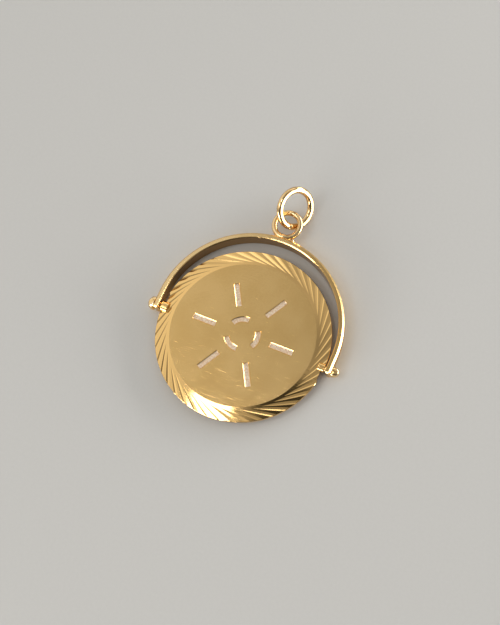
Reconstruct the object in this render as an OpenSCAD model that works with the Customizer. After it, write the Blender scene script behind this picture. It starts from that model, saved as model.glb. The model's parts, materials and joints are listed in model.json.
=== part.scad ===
// Spinning disc pendant: an engraved disc on two rivets, in an arched swivel frame with a
// bail ring and a loose jump ring. It lies flat, as it does on a table.
// +X runs along the pivot axis, +Y towards the jump ring and +Z up through the disc's face.
// The surface that it lies on is z = 0, under the middle of the pendant's outline.

/* [Disc] */
// Diameter of the disc over its cut border
disc_d = 19.7; // [16:0.1:24]
// Thickness of the disc at its flat centre
disc_t = 0.8; // [0.7:0.05:1]
// Width of the bevelled border
border_w = 1.65; // [1.4:0.05:1.8]
// Fall of each face from the flat centre to the rim
border_drop = 0.2; // [0.1:0.01:0.24]
// Height of the disc's centre above the pivot axis
disc_rise = 0.2; // [0:0.02:0.4]

/* [Cut border] */
// Number of slanting cuts on each face
cut_count = 42; // [30:2:60]
// Radius that the slanting cuts are tangent to, as a share of the disc's radius
cut_tangent = 0.846; // [0.8:0.002:0.85]
// Turn of the ring of cuts about the disc's centre
cut_turn = 7.4; // [0:0.1:8]
// Radius at which the cuts begin, as a share of the disc's radius
cut_from = 0.863; // [0.86:0.001:0.9]
// Depth of a cut below the bevel where it runs out of the rim
cut_depth = 0.06; // [0.04:0.005:0.08]
// Half the width of the V cutter for each millimetre of its height
cut_spread = 3; // [2.5:0.25:5]
// Lean of the V cutter, away from the disc's centre
cut_lean = 2; // [0:0.5:6]

/* [Engraving] */
// Width of an engraved stroke at the disc's face
stroke_w = 0.66; // [0.5:0.02:0.8]
// Width of an engraved stroke at its floor
stroke_floor = 0.42; // [0.3:0.02:0.48]
// Depth of an engraved stroke
stroke_depth = 0.12; // [0.05:0.01:0.18]
// Number of rays on each face
ray_count = 6; // [4:1:8]
// Distance of a ray's near end from the centre
ray_start = 3.3; // [2.5:0.1:4]
// Length of a ray
ray_l = 2.7; // [1:0.1:3]
// Radius of the broken circle at the centre, on the middle of its stroke
ring_r = 1.75; // [1.2:0.05:2]
// Angle of each of the three arcs of the broken circle
arc_angle = 62; // [30:1:80]

/* [Frame] */
// Clearance between the disc's rim and the inside of the frame at the pivots
rim_gap = 0.25; // [0.2:0.05:0.6]
// Height of the arch's centre above the pivot axis
arch_rise = 1.44; // [0.6:0.02:2]
// Thickness of the frame's band
band_t = 0.62; // [0.5:0.02:0.8]
// Depth of the frame's band, front to back
band_depth = 1.8; // [1.7:0.05:2.4]
// Length of the frame's legs below the pivot axis
leg_drop = 0.56; // [0.56:0.02:1.2]
// Bevel on the band's two outer edges
outer_bevel = 0.18; // [0.04:0.02:0.2]
// Bevel on the band's two inner edges
inner_bevel = 0.1; // [0.04:0.02:0.2]

/* [Pivots] */
// Diameter of the rivets' shanks
shank_d = 0.66; // [0.5:0.02:0.7]
// Radial play of the shanks in the frame's holes
pivot_play = 0.05; // [0.02:0.01:0.1]
// Radial gap between the shanks and the knuckles they are pressed into
press_gap = 0.015; // [0.01:0.005:0.03]
// Diameter of the left rivet's domed head
left_head_d = 1.6; // [1.1:0.02:1.7]
// Diameter of the right rivet's domed head
right_head_d = 1.2; // [1.1:0.02:1.6]
// Height of the rivets' domed heads
head_h = 0.8; // [0.6:0.05:1]
// Diameter of the knuckle tube on the disc's left side
left_knuckle_d = 1.3; // [1.2:0.05:1.4]
// Diameter of the knuckle tube on the disc's right side, which hardly stands out of the face
right_knuckle_d = 0.95; // [0.9:0.05:1.4]
// Length of the knuckle tubes
knuckle_l = 0.8; // [0.7:0.05:1.2]
// Distance from the pivot axis to the far side of the notch beside each knuckle
notch_far = 1.65; // [1.4:0.05:1.8]
// Depth of the notch from the rim
notch_depth = 0.3; // [0.25:0.05:0.5]

/* [Bail ring] */
// Outer diameter of the bail ring
bail_d = 3.6; // [3:0.1:4.5]
// Wire diameter of the bail ring
bail_wire = 0.65; // [0.5:0.05:0.7]
// Sideways place of the bail ring on the arch
bail_x = -0.45; // [-0.6:0.05:0.5]
// Depth to which the bail ring's wire sinks into the band
bail_sink = 0.1; // [0.08:0.01:0.14]
// Height of the bail ring's centre above the pivot axis
bail_z = 0.45; // [0.4:0.01:0.5]
// Lift of the bail ring's far side, as an angle
bail_pitch = 4; // [2:0.5:6]

/* [Jump ring] */
// Outer diameter of the jump ring
jump_d = 5; // [4.9:0.05:5.1]
// Wire diameter of the jump ring
jump_wire = 0.78; // [0.6:0.02:0.8]
// Sideways place of the jump ring from the bail ring's centre
jump_dx = 0.25; // [0.2:0.01:0.3]
// Distance of the jump ring beyond the bail ring's centre
jump_dy = 1.93; // [1.88:0.01:1.98]
// Lean of the jump ring from lying flat
jump_lean = 54; // [52:0.5:56]
// Direction in which the jump ring leans, from +X
jump_turn = -15; // [-17:0.5:-13]
// Gap under the jump ring's lowest point
jump_gap = 0.02; // [0.01:0.01:0.05]

/* [Colours] */
// Colour of the satin gold
gold = "#c9a563";
// Colour of the polished wire
bright_gold = "#e3c27e";

/* [Hidden] */
$fn = 96;
eps = 0.01;

disc_r = disc_d / 2;
face_z = disc_t / 2;
border_r = disc_r - border_w;
rim_z = face_z - border_drop;
band_in = disc_r + rim_gap;
band_out = band_in + band_t;

// Along its tangent line a cut starts on the bevel, and falls to its full depth at the rim
tangent_r = cut_tangent * disc_r;
cut_r = cut_from * disc_r;
cut_z = face_z - border_drop * (cut_r - border_r) / border_w;
cut_start = sqrt(cut_r ^ 2 - tangent_r ^ 2);
cut_end = sqrt(disc_r ^ 2 - tangent_r ^ 2);
cut_slope = atan((cut_z - rim_z + cut_depth) / (cut_end - cut_start));
cut_step = 360 / cut_count;
// Room past both ends of a cut, and height of the cutter above its edge
cut_over = 1;
cut_h = 0.6;

ray_step = 360 / ray_count;
arc_count = 3;
arc_step = 360 / arc_count;

// Places along the pivot axis, from the centre outwards
knuckle_out = disc_r + 0.05;
knuckle_in = knuckle_out - knuckle_l;
notch_cover = 0.2;
notch_corner = 0.2;
shank_in = knuckle_in + 0.1;
head_gap = 0.03;
head_in = band_out + head_gap;

bail_r = (bail_d - bail_wire) / 2;
bail_reach = bail_r * cos(bail_pitch);
bail_y = arch_rise + sqrt(band_out ^ 2 - bail_x ^ 2) + bail_wire / 2 - bail_sink + bail_reach;
bail_foot = [bail_x, bail_y - bail_reach, bail_z - bail_r * sin(bail_pitch)];
// Solder beads at the bail ring's foot: [place along X from the foot, place along Y, radius]
solder = [[-0.7, -0.1, 0.3], [0.85, -0.1, 0.32]];

jump_r = (jump_d - jump_wire) / 2;
jump_at = [
    bail_x + jump_dx,
    bail_y + jump_dy,
    jump_r * sin(jump_lean) + jump_wire / 2 + jump_gap - band_depth / 2
];
// Half the jump ring's length along Y as it leans, and the middle of the whole outline
jump_reach = jump_r * sqrt(1 - (sin(jump_lean) * sin(jump_turn)) ^ 2) + jump_wire / 2;
middle_y = (jump_at[1] + jump_reach + disc_rise - disc_r) / 2;

// Moves a piece drawn about the pivot axis to its place over the resting surface
module lay_down() {
    translate([0, -middle_y, band_depth / 2]) children();
}

// Turns a piece drawn along +Z to lie along the pivot axis, outwards on the given side
module along_pivot(side) {
    rotate([0, side * 90, 0]) children();
}

// Plain disc: flat faces with a border that falls to the rim on both sides
module blank() {
    rotate_extrude() polygon([
        [0, -face_z], [border_r, -face_z], [disc_r, -rim_z],
        [disc_r, rim_z], [border_r, face_z], [0, face_z]
    ]);
}

// One V cut: its floor line starts at the bevel and falls towards the rim
module border_cut() {
    translate([tangent_r, cut_start, cut_z])
        rotate([-90 - cut_slope, 0, 0]) rotate([0, 0, cut_lean])
            translate([0, 0, -cut_over])
                linear_extrude(height = cut_end - cut_start + 2 * cut_over)
                    polygon([[0, 0], [cut_spread * cut_h, -cut_h], [-cut_spread * cut_h, -cut_h]]);
}

// Cross-section of a stroke: a flat floor, sloping walls and room above the face
module stroke_section() {
    floor_half = stroke_floor / 2;
    face_half = stroke_w / 2;
    polygon([
        [-floor_half, 0], [floor_half, 0], [face_half, stroke_depth],
        [face_half, 2 * stroke_depth], [-face_half, 2 * stroke_depth], [-face_half, stroke_depth]
    ]);
}

// Rays round a broken circle, engraved in the upper face and turned by the given angle
module engraving(turn) {
    translate([0, 0, face_z - stroke_depth]) {
        for (i = [0 : ray_count - 1])
            rotate([0, 0, turn + i * ray_step])
                translate([ray_start, 0, 0])
                    rotate([90, 0, 90]) linear_extrude(height = ray_l) stroke_section();
        for (i = [0 : arc_count - 1])
            rotate([0, 0, turn + i * arc_step - arc_angle / 2])
                rotate_extrude(angle = arc_angle) translate([ring_r, 0]) stroke_section();
    }
}

// Everything that is cut into one face of the disc
module face_cuts(turn) {
    for (i = [0 : cut_count - 1]) rotate([0, 0, cut_turn + i * cut_step]) border_cut();
    engraving(turn);
}

// Notch with a round far corner at the disc's rim, below a knuckle tube of the given diameter
// on the +X side, which covers the notch's near end
module rim_notch(knuckle_d) {
    floor_x = disc_r - notch_depth;
    near = knuckle_d / 2 - notch_cover;
    translate([floor_x, notch_corner - notch_far, -disc_t])
        cube([2 * notch_depth, notch_far - notch_corner - near, 2 * disc_t]);
    translate([floor_x + notch_corner, -notch_far, -disc_t])
        cube([2 * notch_depth, notch_far - near, 2 * disc_t]);
    translate([floor_x + notch_corner, notch_corner - notch_far, -disc_t])
        cylinder(h = 2 * disc_t, r = notch_corner);
}

// Knuckle tube, drawn along +Z before it is bored
module knuckle(knuckle_d) {
    translate([0, 0, knuckle_in]) cylinder(h = knuckle_out - knuckle_in, d = knuckle_d);
}

module disc() {
    color(gold) lay_down() difference() {
        union() {
            difference() {
                translate([0, disc_rise, 0]) difference() {
                    blank();
                    face_cuts(0);
                    rotate([180, 0, 0]) face_cuts(ray_step / 2);
                }
                rim_notch(right_knuckle_d);
                rotate([0, 0, 180]) rim_notch(left_knuckle_d);
            }
            along_pivot(1) knuckle(right_knuckle_d);
            along_pivot(-1) knuckle(left_knuckle_d);
        }
        for (side = [-1, 1]) along_pivot(side)
            translate([0, 0, knuckle_in - eps])
                cylinder(h = disc_r, r = shank_d / 2 + press_gap);
    }
}

// Shank with a domed head, drawn along +Z from the middle of the pivot axis
module rivet(head_d) {
    // Radius of the sphere that gives a dome of the head's height on the head's base
    dome_r = ((head_d / 2) ^ 2 + head_h ^ 2) / (2 * head_h);
    translate([0, 0, shank_in]) cylinder(h = head_in + eps - shank_in, d = shank_d);
    translate([0, 0, head_in]) intersection() {
        translate([0, 0, head_h - dome_r]) sphere(r = dome_r);
        cylinder(h = head_h + eps, r = dome_r + eps);
    }
}

module left_rivet() {
    color(bright_gold) lay_down() along_pivot(-1) rivet(left_head_d);
}

module right_rivet() {
    color(bright_gold) lay_down() along_pivot(1) rivet(right_head_d);
}

// The band's cross-section: its thickness along X and its depth along Y
module band_section() {
    half = band_depth / 2;
    polygon([
        [band_in + inner_bevel, -half], [band_out - outer_bevel, -half],
        [band_out, outer_bevel - half], [band_out, half - outer_bevel],
        [band_out - outer_bevel, half], [band_in + inner_bevel, half],
        [band_in, half - inner_bevel], [band_in, inner_bevel - half]
    ]);
}

module band() {
    translate([0, arch_rise, 0]) {
        rotate_extrude(angle = 180) band_section();
        for (side = [0, 1]) mirror([side, 0, 0])
            rotate([90, 0, 0]) linear_extrude(height = arch_rise + leg_drop) band_section();
    }
}

// A round-wire ring lying flat about the origin
module wire_ring(radius, wire) {
    rotate_extrude() translate([radius, 0]) circle(d = wire);
}

module frame() {
    color(gold) lay_down() {
        difference() {
            band();
            for (side = [-1, 1]) along_pivot(side)
                translate([0, 0, disc_r]) cylinder(h = band_out, r = shank_d / 2 + pivot_play);
        }
        translate([bail_x, bail_y, bail_z]) rotate([bail_pitch, 0, 0]) wire_ring(bail_r, bail_wire);
        for (bead = solder)
            translate(bail_foot + [bead[0], bead[1], 0]) sphere(r = bead[2]);
    }
}

module jump_ring() {
    color(bright_gold) lay_down()
        translate(jump_at) rotate([0, jump_lean, jump_turn]) wire_ring(jump_r, jump_wire);
}

frame();
jump_ring();
disc();
left_rivet();
right_rivet();
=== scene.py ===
# Looks of the spinning disc pendant: the disc with its cut border and engraved rays, the arched
# frame with its bail ring, the jump ring and the two rivets. Each is a surface worked out from
# sizes in millimetres, and its place comes from the construction frame.
import json
import math
import bpy
import numpy as np
from mathutils import Matrix, Vector
from mathutils.geometry import delaunay_2d_cdt


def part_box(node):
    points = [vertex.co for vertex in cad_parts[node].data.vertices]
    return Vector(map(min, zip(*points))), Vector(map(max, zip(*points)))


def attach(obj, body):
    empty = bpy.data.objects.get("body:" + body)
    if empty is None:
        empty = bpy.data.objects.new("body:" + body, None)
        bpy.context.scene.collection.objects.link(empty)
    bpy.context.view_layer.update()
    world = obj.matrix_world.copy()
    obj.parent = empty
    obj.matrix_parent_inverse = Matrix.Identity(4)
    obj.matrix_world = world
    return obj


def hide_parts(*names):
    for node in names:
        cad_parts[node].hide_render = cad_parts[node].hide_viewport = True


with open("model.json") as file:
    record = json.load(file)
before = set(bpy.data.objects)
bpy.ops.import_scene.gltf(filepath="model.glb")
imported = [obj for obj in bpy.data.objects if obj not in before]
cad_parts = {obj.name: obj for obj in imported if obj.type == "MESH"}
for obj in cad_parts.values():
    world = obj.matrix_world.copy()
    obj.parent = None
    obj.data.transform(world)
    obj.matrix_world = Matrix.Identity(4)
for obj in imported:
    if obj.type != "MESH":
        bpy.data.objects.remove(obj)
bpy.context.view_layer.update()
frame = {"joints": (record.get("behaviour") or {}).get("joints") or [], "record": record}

# Millimetres to metres, and the places that the construction frame gives
MM = 0.001
PIVOT = np.array(frame["joints"][0]["pos_m"]) / MM
EYE = next(m for m in frame["record"]["mounts"] if m["name"] == "chain_eye")
EYE_AT = np.array(EYE["pos_m"]) / MM
DISC_LOW, DISC_HIGH = (np.array(corner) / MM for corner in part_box("disc"))
BAND_LOW, BAND_HIGH = (np.array(corner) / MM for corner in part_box("frame"))

# Disc: flat centre, border that falls from BORDER_R to the rim, and small bevels of RIM_EDGE
# along the rim. Heights are from the middle of its thickness.
DISC_R = (DISC_HIGH[1] - DISC_LOW[1]) / 2
DISC_AT = (DISC_LOW + DISC_HIGH) / 2
FACE_Z = 0.4
BORDER_R = DISC_R - 1.65
RIM_Z = 0.2
RIM_EDGE = 0.03

# Slanting cuts in the border: each runs along a tangent to the circle of TANGENT_R, starts at
# CUT_R and is CUT_DEPTH below the border at the rim. Its walls are tilted by the cutter's shape
# and by its lean away from the centre. The UNEVEN values say how much the cuts differ: in turn,
# in where they start, and between which shares of their depth. Angles are in degrees.
CUT_COUNT = 42
CUT_PHASE = 7.4
TANGENT_R = 0.846 * DISC_R
CUT_R = 0.863 * DISC_R
CUT_DEPTH = 0.06
WALL_TILT = math.degrees(math.atan(1 / 3))
CUTTER_LEAN = 2
CUT_STEPS = 9
UNEVEN_TURN = 0.35
UNEVEN_START = 0.05
UNEVEN_DEPTH = (0.88, 1.1)
FRONT_SEED, BACK_SEED = 3, 8

# Engraving: rays round a broken circle, in strokes with sloping walls and a flat floor, which
# is STROKE_FLOOR wide and ends STROKE_END before the stroke does. Each arc spans ARC_ANGLE
# degrees.
STROKE_W = 0.66
STROKE_FLOOR = 0.42
STROKE_DEPTH = 0.12
STROKE_END = 0.03
RAY_COUNT = 6
RAY_START = 3.3
RAY_L = 2.7
CIRCLE_R = 1.75
ARC_COUNT = 3
ARC_ANGLE = 62

# Knuckles on the disc, by side (-1 is left), and the notch beside each. A notch starts
# NOTCH_COVER inside the knuckle and reaches NOTCH_FAR from the pivot axis.
KNUCKLE_R = {-1: 0.65, 1: 0.475}
KNUCKLE_OUT = DISC_R + 0.05
KNUCKLE_IN = KNUCKLE_OUT - 0.8
KNUCKLE_EDGE = 0.06
BORE_R = 0.345
BORE_ENDS = (KNUCKLE_IN - 0.01, KNUCKLE_OUT + 0.5)
NOTCH_COVER = 0.2
NOTCH_FAR = 1.65
NOTCH_DEPTH = 0.3
NOTCH_CORNER = 0.2

# Rivets: [name, side, radius of the head], then the sizes that both have
RIVETS = [["left_rivet", -1, 0.8], ["right_rivet", 1, 0.6]]
SHANK_R = 0.33
SHANK_IN = KNUCKLE_IN + 0.1
SHANK_EDGE = 0.04
HEAD_IN = BAND_HIGH[0] + 0.03
HEAD_H = 0.8
HEAD_POWER = 2.5

# Broken edge under a rivet's head: [distance out from HEAD_IN, distance in from the radius]
HEAD_EDGE = [[0, 0.05], [0.01, 0.01]]

# Hammer dents: their depth, and waves as [waves round, angle for each mm outwards, shift]
DENT_DEPTH = 0.03
DENT_WAVES = [[2, 9, 0], [3, -14, 1], [5, 5, 0]]

# Frame: the arched band about ARCH, its legs that reach down to LEG_END, and its pivot holes.
# SECTION_STEPS are the steps along half of the section's sides, and repeat for the other half.
ARCH = PIVOT + [0, 1.44, 0]
BAND_OUT = BAND_HIGH[0]
BAND_T = 0.62
BAND_HALF = PIVOT[2]
OUTER_BEVEL = 0.18
INNER_BEVEL = 0.11
END_BEVEL = 0.14
LEAST_BEVEL = 0.01
SECTION_STEPS = (3, 4, 3, 8)
LEG_END = BAND_LOW[1]
PIVOT_HOLE_R = 0.38
PIVOT_HOLE_ENDS = (DISC_R, BAND_OUT + 1)

# Bail ring: its middle is BAIL_X along X and BAIL_RISE above the arch's middle, its foot sinks
# into the band, and its wire swells by a share of its radius round its foot. Angles of the
# rings are in radians.
BAIL_R = 1.475
BAIL_WIRE_R = 0.325
BAIL_X = -0.45
BAIL_RISE = 0.45
BAIL_SINK = 0.1
BAIL_PITCH = math.radians(4)
BAIL_SWELL = 0.12
BAIL_SWELL_REACH = 0.42

# Solder along the bail ring's foot: its middle, its half length, its height and width with
# what a bead of size 1 adds to them, and its beads as [place from -1 to 1, reach, size]
SOLDER_X = BAIL_X + 0.25
SOLDER_Z = BAIL_RISE - 0.05
SOLDER_HALF = 1.5
SOLDER_HIGH = (0.13, 0.1)
SOLDER_WIDE = (0.34, 0.06)
SOLDER_BEADS = [[-0.62, 0.2, 1.0], [0.78, 0.12, 4.5]]

# Jump ring: its wire is flat beyond JUMP_FLAT of its radius, and its cut is a fine groove
JUMP_R = 2.11
JUMP_WIRE_R = 0.39
JUMP_FLAT = math.sin(math.radians(72))
JUMP_CUT_AT = math.radians(23)
JUMP_CUT_W = 0.03
JUMP_CUT_DEPTH = 0.1


def grid_faces(rows, cols, close_rows=False, close_cols=False):
    """Four-sided faces between the neighbours of a rows by cols grid, wrapped where closed."""
    r, c = np.meshgrid(
        np.arange(rows - (not close_rows)), np.arange(cols - (not close_cols)), indexing="ij"
    )
    r_next, c_next = (r + 1) % rows, (c + 1) % cols
    corners = [r * cols + c, r * cols + c_next, r_next * cols + c_next, r_next * cols + c]
    return np.stack(corners, -1).reshape(-1, 4)


def even_angles(count):
    """Angles in even steps once round, from 0."""
    return np.arange(count) * 2 * np.pi / count


def wrapped(angle):
    """The same angle brought between -pi and pi."""
    return np.angle(np.exp(1j * angle))


def make_piece(name, points, faces):
    """Mesh object from an array of points in millimetres and a list of arrays of faces."""
    mesh = bpy.data.meshes.new(name)
    mesh.from_pydata((points * MM).tolist(), [], [f for block in faces for f in block.tolist()])
    mesh.update()
    piece = bpy.data.objects.new(name, mesh)
    bpy.context.scene.collection.objects.link(piece)
    return piece


def lathe(name, profile, side, count=96, dents=0.0):
    """Solid of revolution about the pivot axis: each (distance out, radius) pair of the profile
    becomes a ring of points, and the first and last pair, on the axis, become poles. Dents
    shrink the radii by up to their value, as the sum of the dent waves rises from its least
    possible value to its greatest."""
    profile = np.array(profile)
    out, radius = profile[1:-1, 0:1], profile[1:-1, 1:2]
    turn = even_angles(count)
    waves = sum(np.cos(number * turn + pitch * out + shift) for number, pitch, shift in DENT_WAVES)
    radius = radius - dents * (waves + len(DENT_WAVES)) / (2 * len(DENT_WAVES))
    ring = [side * (out + 0 * turn), side * radius * np.cos(turn), radius * np.sin(turn)]
    poles = [[side * profile[0, 0], 0, 0], [side * profile[-1, 0], 0, 0]]
    points = np.concatenate([np.stack(ring, -1).reshape(-1, 3), poles])
    rings, here = len(profile) - 2, np.arange(count)
    after, last = (here + 1) % count, (rings - 1) * count
    near = np.stack([np.full(count, rings * count), after, here], 1)
    far = np.stack([np.full(count, rings * count + 1), last + here, last + after], 1)
    return make_piece(name, PIVOT + points, [grid_faces(rings, count, close_cols=True), near, far])


def combine(piece, other, operation):
    """Applies an exact union or difference with another solid, which is then removed."""
    cut = piece.modifiers.new("combine", "BOOLEAN")
    cut.operation, cut.solver, cut.object = operation, "EXACT", other
    view = bpy.context.evaluated_depsgraph_get()
    mesh = bpy.data.meshes.new_from_object(piece.evaluated_get(view))
    piece.modifiers.clear()
    spent = [piece.data, other.data]
    piece.data = mesh
    bpy.data.objects.remove(other)
    for old in spent:
        bpy.data.meshes.remove(old)


def drill(piece, ends, radius, side):
    """Bores a round hole about the pivot axis between two distances out."""
    cutter = lathe("drill", [[ends[0], 0], [ends[0], radius], [ends[1], radius], [ends[1], 0]], side)
    combine(piece, cutter, "DIFFERENCE")


def finish_shape(piece, body, node, crisp):
    """Crisp edges where faces meet at more than the given angle, and the piece's place in the
    construction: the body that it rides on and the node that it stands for."""
    piece.data.name = piece.name
    piece.data.shade_smooth()
    piece.data.set_sharp_from_angle(angle=math.radians(crisp))
    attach(piece, body)
    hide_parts(node)


# Disc


def border_cuts(seed):
    """The slanting cuts of one face, cut by hand and so a little uneven: arrays of their turn,
    of the radius where they start, of the height and fall of their floor lines, and of the
    slopes of their two walls. In a cut's own directions its floor line runs at x = TANGENT_R
    and its height is top - fall * y, which starts on the bevel and ends under the rim. The
    walls' tilts are square to the falling floor line, so they are steeper in the plan."""
    uneven = np.random.default_rng(seed)
    turn = np.radians(CUT_PHASE + np.arange(CUT_COUNT) * 360 / CUT_COUNT
                      + uneven.uniform(-UNEVEN_TURN, UNEVEN_TURN, CUT_COUNT))
    start_r = CUT_R + uneven.uniform(-UNEVEN_START, UNEVEN_START, CUT_COUNT)
    depth = CUT_DEPTH * uneven.uniform(*UNEVEN_DEPTH, CUT_COUNT)
    start_y = np.sqrt(start_r ** 2 - TANGENT_R ** 2)
    run = np.sqrt(DISC_R ** 2 - TANGENT_R ** 2) - start_y
    start_z = bevel(start_r)
    fall = (start_z - RIM_Z + depth) / run
    steep = 1 / np.cos(np.arctan(fall))
    outer = math.tan(math.radians(WALL_TILT - CUTTER_LEAN)) * steep
    inner = math.tan(math.radians(WALL_TILT + CUTTER_LEAN)) * steep
    return {"turn": turn, "start_r": start_r, "top": start_z + fall * start_y, "fall": fall,
            "outer": outer, "inner": inner}


def bevel(radius):
    """Height of a face without its cuts: flat inside the border, then falling evenly to RIM_Z."""
    fall = (FACE_Z - RIM_Z) * (radius - BORDER_R) / (DISC_R - BORDER_R)
    return FACE_Z - np.maximum(fall, 0)


def cut_edges(cuts):
    """Radii and angles, one row for each cut, of its outer edge, floor line and inner edge. The
    edges are where a wall's plane meets the bevel: for a radius r the angle a is solved from
    r * (fall * sin(a) - slope * cos(a)) = top - slope * TANGENT_R - bevel(r)."""
    share = np.linspace(0, 1, CUT_STEPS)
    radius = cuts["start_r"][:, None] * (1 - share) + (DISC_R - RIM_EDGE) * share
    fall, turn = cuts["fall"][:, None], cuts["turn"][:, None]

    def wall_edge(slope):
        """Arcsine and lean from that equation, whose left side is the same as
        r * hypot(fall, slope) * sin(a - lean)."""
        left = (cuts["top"][:, None] - slope * TANGENT_R - bevel(radius)) / radius
        return np.arcsin(np.clip(left / np.hypot(fall, slope), -1, 1)), np.arctan2(slope, fall)

    rise, lean = wall_edge(cuts["outer"][:, None])
    inner_rise, inner_lean = wall_edge(-cuts["inner"][:, None])
    floor = np.arccos(TANGENT_R / radius)
    return radius, [turn + rise + lean, turn + floor, turn + np.pi - inner_rise + inner_lean]


def cut_height(cuts, x, y):
    """Height of the lowest cut at each point. A cut's height is its floor line's, and its walls
    rise from there by their slope times the distance across."""
    turn = cuts["turn"][:, None]
    across = np.cos(turn) * x + np.sin(turn) * y - TANGENT_R
    along = np.cos(turn) * y - np.sin(turn) * x
    wall = np.maximum(cuts["outer"][:, None] * across, -cuts["inner"][:, None] * across)
    return (cuts["top"][:, None] - cuts["fall"][:, None] * along + wall).min(0)


def stroke_outlines(turn):
    """Closed outlines, in the plan, of every stroke's edge on the face and edge of its floor:
    straight rays, and arcs of a broken circle about the centre."""
    outlines = []
    for half, end in ((STROKE_W / 2, 0.0), (STROKE_FLOOR / 2, STROKE_END)):
        out = np.array([RAY_START + end, RAY_START + RAY_L - end])
        x, y = out[[0, 1, 1, 0]], half * np.array([-1, -1, 1, 1])
        for ray in range(RAY_COUNT):
            a = math.radians(turn + ray * 360 / RAY_COUNT)
            outlines.append(np.stack([x * math.cos(a) - y * math.sin(a),
                                      x * math.sin(a) + y * math.cos(a)], 1))
        reach = math.radians(ARC_ANGLE / 2) - end / CIRCLE_R
        sweep = np.linspace(-reach, reach, 17)
        for arc in range(ARC_COUNT):
            a = math.radians(turn + arc * 360 / ARC_COUNT) + np.append(sweep, sweep[::-1])
            r = np.repeat([CIRCLE_R - half, CIRCLE_R + half], len(sweep))
            outlines.append(np.stack([r * np.cos(a), r * np.sin(a)], 1))
    return outlines


def stroke_depth(turn, x, y):
    """Depth of the engraving at each point: it grows from 0 at a stroke's edge to STROKE_DEPTH
    at its floor, by the distance in from its sides and its ends."""
    slope = (STROKE_W - STROKE_FLOOR) / 2
    share = np.zeros_like(x)
    for ray in range(RAY_COUNT):
        a = math.radians(turn + ray * 360 / RAY_COUNT)
        out, across = x * math.cos(a) + y * math.sin(a), y * math.cos(a) - x * math.sin(a)
        ends = np.minimum(out - RAY_START, RAY_START + RAY_L - out) / STROKE_END
        share = np.maximum(share, np.minimum(ends, (STROKE_W / 2 - abs(across)) / slope))
    across = np.hypot(x, y) - CIRCLE_R
    for arc in range(ARC_COUNT):
        a = math.radians(turn + arc * 360 / ARC_COUNT)
        off = abs(wrapped(np.arctan2(y, x) - a))
        ends = (math.radians(ARC_ANGLE / 2) - off) * CIRCLE_R / STROKE_END
        share = np.maximum(share, np.minimum(ends, (STROKE_W / 2 - abs(across)) / slope))
    return STROKE_DEPTH * np.clip(share, 0, 1)


def disc_face(cuts, turn, rim_angles):
    """One face of the disc seen from above: a plan triangulated between the rim, the border's
    circle, the edges of the cuts and the outlines of the strokes, raised by its height at each
    point, which is the bevel's or the lowest cut's, less the depth of the engraving. Returns
    points and triangles, with the rim's points first."""
    rim = (DISC_R - RIM_EDGE) * np.stack([np.cos(rim_angles), np.sin(rim_angles)], 1)
    circle = even_angles(180)
    loops = [rim, BORDER_R * np.stack([np.cos(circle), np.sin(circle)], 1)]
    loops += stroke_outlines(turn)
    points, edges, count = [], [], 0
    for loop in loops:
        here = np.arange(len(loop))
        points.append(loop)
        edges.append(count + np.stack([here, (here + 1) % len(loop)], 1))
        count += len(loop)
    radius, lines = cut_edges(cuts)
    for angle in lines:
        points.append(np.stack([radius * np.cos(angle), radius * np.sin(angle)], -1).reshape(-1, 2))
        here = np.arange(angle.size).reshape(angle.shape)
        edges.append(count + np.stack([here[:, :-1], here[:, 1:]], -1).reshape(-1, 2))
        count += angle.size
    inside_rim, same_point = 1, 1e-5
    plan = delaunay_2d_cdt(np.concatenate(points).tolist(), np.concatenate(edges).tolist(), [],
                           inside_rim, same_point)
    xy = np.array([(p[0], p[1]) for p in plan[0]])
    triangles = np.array(plan[2])
    # The triangulation has its own numbering, so the rim's points are moved to the front
    first = {old: new for new, olds in enumerate(plan[3]) for old in olds}
    rim_index = np.array([first[i] for i in range(len(rim_angles))])
    order = np.full(len(xy), -1)
    order[rim_index] = np.arange(len(rim_index))
    order[order < 0] = np.arange(len(rim_index), len(xy))
    placed = np.empty_like(xy)
    placed[order] = xy
    x, y = placed.T
    height = np.minimum(bevel(np.hypot(x, y)), cut_height(cuts, x, y))
    height = height - stroke_depth(turn, x, y)
    return np.column_stack([placed, height]), order[triangles]


def rim_set(front, back):
    """Angles of the rim's points: where the cuts of either face run out, with the back's
    mirrored, and steps of two degrees, less those within half a degree of a cut's end."""
    ends = [angle[:, -1] for angle in cut_edges(front)[1]]
    ends += [-angle[:, -1] for angle in cut_edges(back)[1]]
    ends = np.concatenate(ends) % (2 * np.pi)
    steps = np.arange(0, 360, 2) * np.pi / 180
    gap = abs(wrapped(steps[:, None] - ends)).min(1)
    return np.sort(np.append(ends, steps[gap > math.radians(0.5)]))


def disc_plate():
    """The disc: a front face, a back face that is turned over about the pivot axis, and between
    them a rim wall with a small bevel along both of its edges."""
    front, back = border_cuts(FRONT_SEED), border_cuts(BACK_SEED)
    angles = rim_set(front, back)
    top, top_faces = disc_face(front, 0, angles)
    low, low_faces = disc_face(back, 180 / RAY_COUNT, -angles)
    low = low * [1, -1, -1]
    count = len(angles)
    wall = DISC_R * np.stack([np.cos(angles), np.sin(angles)], 1)
    upper = np.column_stack([wall, top[:count, 2] - RIM_EDGE])
    lower = np.column_stack([wall, low[:count, 2] + RIM_EDGE])
    points = np.concatenate([top, low, upper, lower])
    here = np.arange(count)
    rings = [here, len(top) + len(low) + here, len(top) + len(low) + count + here, len(top) + here]
    faces = [top_faces, low_faces + len(top)]
    for above, below in zip(rings, rings[1:]):
        faces.append(np.stack([above, below, np.roll(below, -1), np.roll(above, -1)], 1))
    return make_piece("disc", DISC_AT + points, faces)


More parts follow.
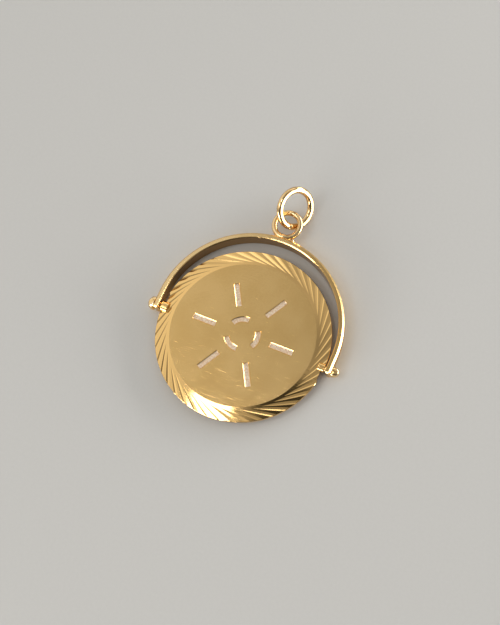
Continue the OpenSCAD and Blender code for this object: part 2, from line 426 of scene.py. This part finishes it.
def notch_cutter():
    """Two upright blocks that cut a notch below the right knuckle and one above the left:
    rectangles whose far inner corner is a quarter circle, extruded. The knuckle covers the
    near end."""
    bend = np.linspace(np.pi / 2, 0, 9)
    floor, outside = DISC_R - NOTCH_DEPTH, DISC_R + 1
    x = np.concatenate([[outside], floor + NOTCH_CORNER * (1 - np.cos(bend)), [floor, outside]])
    far = np.append(-NOTCH_FAR, NOTCH_CORNER * (1 - np.sin(bend)) - NOTCH_FAR)
    count = len(x)
    here = np.arange(count)
    blocks, faces = [], []
    for turn in (1, -1):
        near = NOTCH_COVER - KNUCKLE_R[turn]
        flat = np.stack([x, np.append(far, [near, near])], 1) * turn
        base = len(blocks) * count
        for z in (-1, 1):
            blocks.append(np.column_stack([flat, np.full(count, z)]))
        faces.append((base + here)[None, :])
        faces.append((base + count + here)[None, ::-1])
        faces.append(base + np.stack([here, here + count, np.roll(here, -1) + count,
                                      np.roll(here, -1)], 1))
    return make_piece("notches", PIVOT + np.concatenate(blocks), faces)


def make_disc():
    """The plate, notched at both sides, with a drilled knuckle tube beside each notch. Each end
    of a tube has a rounded edge of three points, given as distances along from the end and down
    from the radius. The border's planes meet at shallow angles, so few degrees make an edge."""
    disc = disc_plate()
    combine(disc, notch_cutter(), "DIFFERENCE")
    middle = 0.3 * KNUCKLE_EDGE
    edge = [[0, KNUCKLE_EDGE], [middle, middle], [KNUCKLE_EDGE, 0]]
    for side, radius in KNUCKLE_R.items():
        profile = [[KNUCKLE_IN, 0]]
        profile += [[KNUCKLE_IN + along, radius - down] for along, down in edge]
        profile += [[KNUCKLE_OUT - along, radius - down] for along, down in reversed(edge)]
        profile += [[KNUCKLE_OUT, 0]]
        combine(disc, lathe("knuckle", profile, side), "UNION")
        drill(disc, BORE_ENDS, BORE_R, side)
    finish_shape(disc, "disc", "disc", crisp=4.4)
    return disc


def make_rivet(name, side, head_r):
    """Round shank with a hammered head, whose outline is a superellipse: its radius over head_r
    and its distance out over HEAD_H, each to the power HEAD_POWER, add up to 1. The broken edge
    takes the place of the outline's first two points."""
    swing, power = np.linspace(0, math.pi / 2, 30), 2 / HEAD_POWER
    dome = np.stack([HEAD_IN + HEAD_H * np.sin(swing) ** power, head_r * np.cos(swing) ** power], 1)
    shank = [[SHANK_IN, 0], [SHANK_IN, SHANK_R - SHANK_EDGE], [SHANK_IN + SHANK_EDGE, SHANK_R],
             [HEAD_IN, SHANK_R]]
    edge = [[HEAD_IN + out, head_r - down] for out, down in HEAD_EDGE]
    profile = np.concatenate([shank, edge, dome[len(edge):]])
    rivet = lathe(name, profile, side, 72, DENT_DEPTH)
    finish_shape(rivet, "disc", name, crisp=35)
    return rivet


# Frame and rings


def band_section(inset):
    """Rectangle of the band with bevelled corners as (outward, height) offsets from its middle,
    one row for each inset: an inset draws all sides in and takes as much off the bevels, down
    to LEAST_BEVEL. Even steps along the sides keep the faces short."""
    rows = inset[:, None]
    wide, tall = BAND_T / 2 - rows, BAND_HALF - rows
    outer = np.maximum(OUTER_BEVEL - rows, LEAST_BEVEL)
    inner = np.maximum(INNER_BEVEL - rows, LEAST_BEVEL)
    corners = [(wide, tall - outer), (wide - outer, tall), (inner - wide, tall),
               (-wide, tall - inner), (-wide, inner - tall), (inner - wide, -tall),
               (wide - outer, -tall), (wide, outer - tall)]
    out, up = [], []
    for here, after, steps in zip(corners, corners[1:] + corners[:1], 2 * SECTION_STEPS):
        share = np.linspace(0, 1, steps + 1)[:-1]
        out.append(here[0] + (after[0] - here[0]) * share)
        up.append(here[1] + (after[1] - here[1]) * share)
    return np.concatenate(out, 1), np.concatenate(up, 1)


def band():
    """The arched band: its section carried up one leg, round the half circle and down the other
    leg, and drawn in at both ends so that the leg ends are bevelled too."""
    leg = ARCH[1] - LEG_END
    leg_y = np.append([-leg, END_BEVEL - leg], np.linspace(-leg, 0, 9)[1:-1])
    ones = np.ones_like(leg_y)
    middle = BAND_OUT - BAND_T / 2
    turn = np.linspace(0, np.pi, 145)
    out_x = np.concatenate([ones, np.cos(turn), -ones])[:, None]
    out_y = np.concatenate([0 * ones, np.sin(turn), 0 * ones])[:, None]
    y = np.concatenate([leg_y, middle * np.sin(turn), leg_y[::-1]])[:, None]
    inset = np.zeros(len(y))
    inset[[0, -1]] = END_BEVEL
    out, up = band_section(inset)
    grid = np.stack([middle * out_x + out * out_x, y + out * out_y, up], -1)
    rows, cols = out.shape
    caps = [np.arange(cols)[None, ::-1], (rows - 1) * cols + np.arange(cols)[None, :]]
    faces = [grid_faces(rows, cols, close_cols=True)]
    return make_piece("frame", ARCH + grid.reshape(-1, 3), faces + caps)


def wire_ring(name, centre, across, along, ring_r, wire_r, count=(144, 40), flat=1.0):
    """A ring of round wire: circles of the wire's radius, which is a function of the angle round
    the ring, carried round the ring's circle in the plane of two given directions. The ring's
    two sides are flat beyond the given share of the wire's radius."""
    across, along = np.array(across, float), np.array(along, float)
    axis = np.cross(across, along)
    u = even_angles(count[0])[:, None, None]
    v = even_angles(count[1])[None, :, None]
    radius = wire_r(u)
    spoke = np.cos(u) * across + np.sin(u) * along
    aside = np.clip(np.sin(v), -flat, flat)
    points = centre + spoke * (ring_r + radius * np.cos(v)) - axis * radius * aside
    faces = grid_faces(*count, close_rows=True, close_cols=True)
    return make_piece(name, points.reshape(-1, 3), [faces])


def bail_ring():
    """The bail ring, tilted up a little, whose wire swells where solder has run up its foot."""
    reach = BAIL_R * math.cos(BAIL_PITCH)
    rim = math.sqrt(BAND_OUT ** 2 - BAIL_X ** 2)
    centre = ARCH + [BAIL_X, rim + BAIL_WIRE_R - BAIL_SINK + reach, BAIL_RISE]
    along = [0, math.cos(BAIL_PITCH), math.sin(BAIL_PITCH)]

    def swell(u):
        """The wire's radius, larger by a bell curve about the foot, which is at -90 degrees."""
        off = wrapped(u + np.pi / 2)
        return BAIL_WIRE_R * (1 + BAIL_SWELL * np.exp(-(off / BAIL_SWELL_REACH) ** 2))

    return wire_ring("bail", centre, [1, 0, 0], along, BAIL_R, swell)


def solder_seam():
    """Solder along the foot of the bail ring: an elliptical spindle laid along the band's outer
    face, whose height and width shrink almost to nothing at its ends as a half circle does,
    with bell-shaped beads on it."""
    t = np.linspace(-1, 1, 49)[:, None]
    v = even_angles(24)[None, :]
    body = np.sqrt(np.maximum(1 - t ** 2, 1e-6))
    beads = sum(size * np.exp(-((t - at) / reach) ** 2) for at, reach, size in SOLDER_BEADS)
    high, wide = (body * (least + more * beads) for least, more in (SOLDER_HIGH, SOLDER_WIDE))
    turn = math.pi / 2 - (SOLDER_X + SOLDER_HALF * t) / BAND_OUT
    out = BAND_OUT + high * np.cos(v)
    points = np.stack([out * np.cos(turn), out * np.sin(turn), SOLDER_Z + wide * np.sin(v)], -1)
    rows, cols = points.shape[:2]
    caps = [np.arange(cols)[None, :], (rows - 1) * cols + np.arange(cols)[None, ::-1]]
    faces = [grid_faces(rows, cols, close_cols=True)[:, ::-1]] + caps
    return make_piece("solder", ARCH + points.reshape(-1, 3), faces)


def make_frame():
    """The band with its pivot holes, fused with the bail ring and the solder at its foot."""
    piece = band()
    for side in (-1, 1):
        drill(piece, PIVOT_HOLE_ENDS, PIVOT_HOLE_R, side)
    combine(piece, solder_seam(), "UNION")
    combine(piece, bail_ring(), "UNION")
    finish_shape(piece, "frame", "frame", crisp=32)
    return piece


def make_jump_ring():
    """The loose jump ring where it leans through the bail ring: a wire ring in the plane across
    its eye's axis, with its sides pressed a little flat and a narrow groove for its cut."""
    axis = Vector(EYE["axis"]).normalized()
    across = axis.cross(Vector((0, 0, 1))).normalized()
    along = axis.cross(across)

    def wire(u):
        """The wire's radius, smaller by a narrow bell curve about the cut."""
        off = wrapped(u - JUMP_CUT_AT)
        return JUMP_WIRE_R - JUMP_CUT_DEPTH * np.exp(-(off / JUMP_CUT_W) ** 2)

    piece = wire_ring("jump_ring", EYE_AT, across, along, JUMP_R, wire, (720, 40), JUMP_FLAT)
    finish_shape(piece, "frame", "jump_ring", crisp=12)
    return piece


# Materials


class Field:
    """A shader socket that works in Python sums: each operator adds one Math node."""

    def __init__(self, shading, socket):
        self.shading, self.socket = shading, socket

    def math(self, operation, a, b):
        """Math node on two values, each a field or a number."""
        return self.shading.node("ShaderNodeMath", {"operation": operation}, {0: a, 1: b})

    def __add__(self, other):
        return self.math("ADD", self, other)

    def __sub__(self, other):
        return self.math("SUBTRACT", self, other)

    def __rsub__(self, other):
        return self.math("SUBTRACT", other, self)

    def __mul__(self, other):
        return self.math("MULTIPLY", self, other)

    def __abs__(self):
        return self.math("ABSOLUTE", self, 0)

    __radd__, __rmul__ = __add__, __mul__

    def ramp(self, low, high):
        """0 up to low, 1 from high on, and a smooth rise between; falls where high is less."""
        return self.shading.node(
            "ShaderNodeMapRange", {"interpolation_type": "SMOOTHSTEP"},
            {"Value": self, "From Min": low, "From Max": high}
        )


class Shading:
    """A node tree, of a material or of the room, that is built from fields."""

    def __init__(self, owner, shader, place):
        owner.use_nodes = True
        self.tree = owner.node_tree
        self.shader = self.tree.nodes[shader]
        self.place = self.node("ShaderNodeTexCoord", {}, {}, place)

    def node(self, kind, settings, inputs, output=0):
        """Adds a node of a kind, with its settings first and then the values or fields of its
        sockets, and gives one of its outputs as a field."""
        made = self.tree.nodes.new(kind)
        for key, value in settings.items():
            setattr(made, key, value)
        for key, value in inputs.items():
            self.feed(made.inputs[key], value)
        return Field(self, made.outputs[output])

    def feed(self, socket, value):
        """Links a field to a socket, or sets the socket's own value."""
        if isinstance(value, Field):
            self.tree.links.new(value.socket, socket)
        else:
            socket.default_value = value


class Finish(Shading):
    """A finish: a material whose Principled shader takes fields on a few sockets."""

    def __init__(self, name):
        self.material = bpy.data.materials.new(name)
        super().__init__(self.material, "Principled BSDF", "Object")

    def about(self, centre, turn=0, scale=(1, 1, 1)):
        """Place in millimetres from a point, turned about Z and stretched."""
        moved = self.node("ShaderNodeVectorMath", {"operation": "SUBTRACT"},
                          {0: self.place, 1: tuple(centre * MM)})
        return self.node("ShaderNodeMapping", {}, {
            "Vector": moved, "Rotation": (0, 0, math.radians(turn)),
            "Scale": tuple(s / MM for s in scale)
        })

    def part(self, vector, axis):
        """The X, Y or Z of a place."""
        return self.node("ShaderNodeSeparateXYZ", {}, {0: vector}, axis)

    def out_from_z(self, vector):
        """Distance of a place from the Z axis: its length once its Z is 0."""
        flat = self.node("ShaderNodeVectorMath", {"operation": "MULTIPLY"}, {0: vector, 1: (1, 1, 0)})
        return self.node("ShaderNodeVectorMath", {"operation": "LENGTH"}, {0: flat}, "Value")

    def noise(self, vector, scale, detail, rough=0.5):
        """Cloudy noise from 0 to 1, with scale waves in a millimetre."""
        return self.node("ShaderNodeTexNoise", {}, {
            "Vector": vector, "Scale": scale, "Detail": detail, "Roughness": rough
        })

    def colour(self, share, first, second):
        """First colour where share is 0, second where it is 1. A Mix node has its two colours
        at sockets 6 and 7, and the mixed one at output 2."""
        first, second = (c if isinstance(c, Field) else (*c, 1) for c in (first, second))
        return self.node("ShaderNodeMix", {"data_type": "RGBA"}, {0: share, 6: first, 7: second}, 2)

    def scratches(self, centre, turns, long, fine, rare):
        """Straight hairlines in several directions: noise stretched along each, long and fine
        in millimetres, of which only the part above rare is kept."""
        total = 0.0
        for number, turn in enumerate(turns):
            lines = self.noise(self.about(centre + number, turn, (1 / long, 1 / fine, 1)), 1.0, 1.0)
            total = lines.ramp(rare, rare + 0.1) + total
        return total

    def bump(self, height, reach):
        """Bump from a field of heights, whose unit stands for reach millimetres."""
        return self.node("ShaderNodeBump", {}, {
            "Height": height, "Distance": reach * MM, "Strength": 1.0
        }, "Normal")

    def metal(self, colour, roughness, normal):
        """Feeds the shader's three fields that vary, and makes it metal all over."""
        for name, value in (("Base Color", colour), ("Roughness", roughness), ("Normal", normal)):
            self.feed(self.shader.inputs[name], value)
        self.shader.inputs["Metallic"].default_value = 1.0
        return self.material


# Tones of the metal and of the paper, and the height in mm that a unit of bump stands for
GOLD = (0.92, 0.60, 0.235)
SATIN_GOLD = (0.82, 0.54, 0.205)
PALE_SATIN_GOLD = (0.88, 0.595, 0.245)
# Painted shade and painted light for the band's face: the first is its tone at the right, the second
# at the left
SHADED_SATIN_GOLD = (0.62, 0.41, 0.16)
LIT_SATIN_GOLD = (0.97, 0.70, 0.35)
LIGHT_GOLD = (0.96, 0.73, 0.43)
WIRE_GOLD = (0.80, 0.53, 0.24)
PALE_WIRE_GOLD = (0.90, 0.64, 0.33)
# Painted shade for the wall inside the arch, where it mirrors the dark gap
INNER_SHADE_GOLD = (0.40, 0.235, 0.085)
ROSE_GOLD = (0.76, 0.52, 0.34)
PALE_ROSE_GOLD = (1.0, 0.90, 0.73)
PAPER = (0.58, 0.57, 0.545)
PALE_PAPER = (0.62, 0.61, 0.585)
FINE_RELIEF = 0.004
HAMMER_RELIEF = 0.12


def disc_gold():
    """Satin centre with hairlines and faint smudges, bright cut border, frosted strokes. The
    border is what lies outside its circle, and a stroke is what is sunk well inside it."""
    f = Finish("disc_gold")
    place = f.about(DISC_AT)
    radius = f.out_from_z(place)
    sunk = FACE_Z - abs(f.part(place, "Z"))
    border = radius.ramp(BORDER_R - 0.01, BORDER_R + 0.02)
    engraved = radius.ramp(BORDER_R - 0.6, BORDER_R - 0.7)
    stroke = engraved * sunk.ramp(0.4 * STROKE_DEPTH, 0.9 * STROKE_DEPTH)
    smudge = f.noise(place, 0.22, 3.0)
    grain = f.noise(place, 9.0, 3.0, 0.6)
    hairs = f.scratches(PIVOT, (12, 47, 83, 121, 158), 3.2, 0.11, 0.62)
    frost = f.noise(place, 8.0, 3.0, 0.7)
    mottle = 0.5 * smudge + 0.5 * f.noise(place, 5.0, 4.0, 0.8)
    tone = f.colour(mottle.ramp(0.42, 0.58), SATIN_GOLD, PALE_SATIN_GOLD)
    tone = f.colour(border, tone, GOLD)
    tone = f.colour(stroke, tone, f.colour(frost.ramp(0.4, 0.66), ROSE_GOLD, PALE_ROSE_GOLD))
    satin = 0.13 + 0.06 * smudge + 0.05 * grain
    rough = satin + border * (0.085 - satin)
    rough = rough + stroke * (0.42 - rough)
    height = hairs * 0.25 * (1 - border * 0.5) + grain * 0.3 * (1 - border) + frost * stroke * 9.0
    return f.metal(tone, rough, f.bump(height, FINE_RELIEF))


def frame_gold():
    """Satin front and back edges, with painted shade towards the right and painted light towards
    the left among random smudges of tone, brighter bevels, painted shade on the wall inside
    the arch where it mirrors the dark gap, and a polished bail ring."""
    f = Finish("frame_gold")
    place = f.about(ARCH)
    smudge = f.noise(place, 0.35, 3.0)
    grain = f.noise(place, 8.0, 3.0, 0.6)
    hairs = f.scratches(ARCH, (5, 64, 117), 2.5, 0.09, 0.6)
    edge = abs(f.part(place, "Z")).ramp(BAND_HALF - 0.05, BAND_HALF - 0.01)
    ring = f.part(place, "Y").ramp(BAND_OUT + 0.02, BAND_OUT + 0.12)
    # Painted shade darkens the band's front and back towards the right and painted light lightens
    # them towards the left, mixed with random smudges of tone
    shade_and_smudge = f.part(place, "X") * 0.06 + smudge
    tone = f.colour(edge, GOLD, f.colour(shade_and_smudge.ramp(0.95, 0.0), SHADED_SATIN_GOLD, LIT_SATIN_GOLD))
    # Painted shade on the wall inside the arch, above the pivots, where it mirrors the dark gap
    band_in = BAND_OUT - BAND_T
    inside = f.out_from_z(place).ramp(band_in + 0.05, band_in + 0.02)
    inside = inside * f.part(place, "Y").ramp(0.5, 2.5)
    tone = f.colour(inside, tone, INNER_SHADE_GOLD)
    tone = f.colour(ring, tone, PALE_WIRE_GOLD)
    rough = 0.11 + 0.06 * grain + edge * (0.08 + 0.06 * smudge) - ring * 0.05
    return f.metal(tone, rough, f.bump(hairs * 0.35 + grain * 0.2, FINE_RELIEF))


def wire_gold():
    """Polished wire with slight tool marks."""
    f = Finish("wire_gold")
    place = f.about(EYE_AT)
    smudge = f.noise(place, 0.7, 2.0)
    grain = f.noise(place, 5.0, 3.0, 0.6)
    tone = f.colour(smudge.ramp(0.3, 0.7), WIRE_GOLD, PALE_WIRE_GOLD)
    return f.metal(tone, 0.06 + 0.06 * grain, f.bump(grain, FINE_RELIEF))


def rivet_gold():
    """Polished heads with soft hammer dents."""
    f = Finish("rivet_gold")
    place = f.about(PIVOT)
    dents = f.noise(place, 1.6, 1.0)
    grain = f.noise(place, 7.0, 2.0)
    tone = f.colour(dents.ramp(0.3, 0.7), GOLD, LIGHT_GOLD)
    return f.metal(tone, 0.13 + 0.08 * grain, f.bump(dents + grain * 0.06, HAMMER_RELIEF))


def floor_paper():
    """Pale matt paper, a little uneven in tone, for the pendant to lie on."""
    f = Finish("floor_paper")
    fibres = f.noise(f.about(np.zeros(3)), 3.0, 4.0, 0.6)
    f.feed(f.shader.inputs["Base Color"], f.colour(fibres, PAPER, PALE_PAPER))
    f.shader.inputs["Roughness"].default_value = 0.85
    return f.material


# Studio

# Camera: its place from the disc's centre in mm, the way it looks, its right-hand side and its
# focal length in mm
CAMERA_FROM_DISC = (31.209, -28.381, 119.475)
CAMERA_LOOKS = (-0.24752, 0.24403, -0.93765)
CAMERA_RIGHT = (0.90597, 0.40135, -0.1347)
CAMERA_LENS = 66.24

# Soft boxes: [name, direction from the pendant, width and height in mm, radiance]
LIGHT_DISTANCE = 300
LIGHTS = [
    ["overhead_strip", (-0.247, -0.082, 0.966), 53, 43, 6.4],
    ["near_lamp", (-0.455, -0.41, 0.79), 92, 60, 4.5],
    ["right_window", (0.925, 0.30, 0.145), 140, 76, 12.0],
    ["low_card", (0.996, 0.01, 0.068), 90, 36, 8.0],
    ["corner_window", (0.62, 0.76, 0.18), 240, 80, 9.0],
    ["far_window", (-0.15, 0.88, 0.45), 220, 90, 1.0],
    ["far_lamp", (-0.22, 0.64, 0.736), 28, 28, 1.8],
    ["near_window", (-0.37, -0.91, 0.19), 230, 80, 9.0],
]

# Room: even grey, changed by soft round patches: [direction, angle within which a patch is
# full, angle beyond which it is gone, change of strength]
ROOM_COLOUR = (1.0, 0.98, 0.94, 1.0)
ROOM_STRENGTH = 0.36
PATCHES = [
    [(-0.85, 0.15, 0.50), 24, 54, 0.52],
    [(0.25, 0.65, 0.72), 12, 30, 0.25],
    [(-0.45, -0.50, 0.74), 8, 28, 0.45],
    [(0.25, 0.38, 0.89), 6, 17, -0.25],
    [(0.00, 0.03, 1.00), 4, 9, -0.32],
    [(0.30, -0.90, 0.30), 25, 55, -0.25],
]
FLOOR_HALF = 400


def look_along(direction, right):
    """Rotation whose local -Z is the direction and whose local X is near the given one: X is
    that one less its share along Z, and Y is square to both."""
    back = -Vector(direction).normalized()
    across = Vector(right)
    across = (across - back * across.dot(back)).normalized()
    return Matrix((across, back.cross(across), back)).transposed()


def add_camera():
    """The camera at the photograph's viewing angle, with near and far limits for so small a
    piece."""
    camera = bpy.data.objects.new("camera", bpy.data.cameras.new("camera"))
    camera.data.lens = CAMERA_LENS
    camera.data.clip_start, camera.data.clip_end = 0.001, 10.0
    place = Matrix.Translation(Vector(DISC_AT + CAMERA_FROM_DISC) * MM)
    camera.matrix_world = place @ look_along(CAMERA_LOOKS, CAMERA_RIGHT).to_4x4()
    bpy.context.scene.collection.objects.link(camera)
    bpy.context.scene.camera = camera


def add_lights():
    """Soft boxes that face the pendant, level where they stand low and along X where they are
    overhead. Power gives each its radiance: power = radiance * pi * area."""
    for name, direction, wide, high, radiance in LIGHTS:
        lamp = bpy.data.lights.new(name, "AREA")
        lamp.shape = "RECTANGLE"
        lamp.size, lamp.size_y = wide * MM, high * MM
        lamp.energy = radiance * math.pi * lamp.size * lamp.size_y
        light = bpy.data.objects.new(name, lamp)
        toward = Vector(direction).normalized()
        across = Vector((1, 0, 0)) if toward.z > 0.9 else toward.cross(Vector((0, 0, 1)))
        place = Matrix.Translation(toward * LIGHT_DISTANCE * MM)
        light.matrix_world = place @ look_along(-toward, across).to_4x4()
        bpy.context.scene.collection.objects.link(light)


def add_room():
    """Soft grey surroundings with darker and lighter patches, and a pale floor. A patch's
    strength ramps with the cosine of the angle from its direction."""
    world = bpy.data.worlds.new("room")
    bpy.context.scene.world = world
    room = Shading(world, "Background", "Generated")
    strength = ROOM_STRENGTH
    for direction, full, gone, change in PATCHES:
        toward = tuple(Vector(direction).normalized())
        near = room.node("ShaderNodeVectorMath", {"operation": "DOT_PRODUCT"},
                         {0: room.place, 1: toward}, "Value")
        low, high = math.cos(math.radians(gone)), math.cos(math.radians(full))
        strength = change * near.ramp(low, high) + strength
    room.feed(room.shader.inputs["Strength"], strength)
    room.shader.inputs["Color"].default_value = ROOM_COLOUR
    corners = FLOOR_HALF * np.array([[-1, -1, 0], [1, -1, 0], [1, 1, 0], [-1, 1, 0]])
    floor = make_piece("floor", corners, [np.arange(4)[None, :]])
    floor.data.materials.append(floor_paper())


add_camera()
bpy.context.scene.view_settings.view_transform = "Standard"
add_lights()
add_room()

make_disc().data.materials.append(disc_gold())
make_frame().data.materials.append(frame_gold())
make_jump_ring().data.materials.append(wire_gold())
heads = rivet_gold()
for rivet in RIVETS:
    make_rivet(*rivet).data.materials.append(heads)
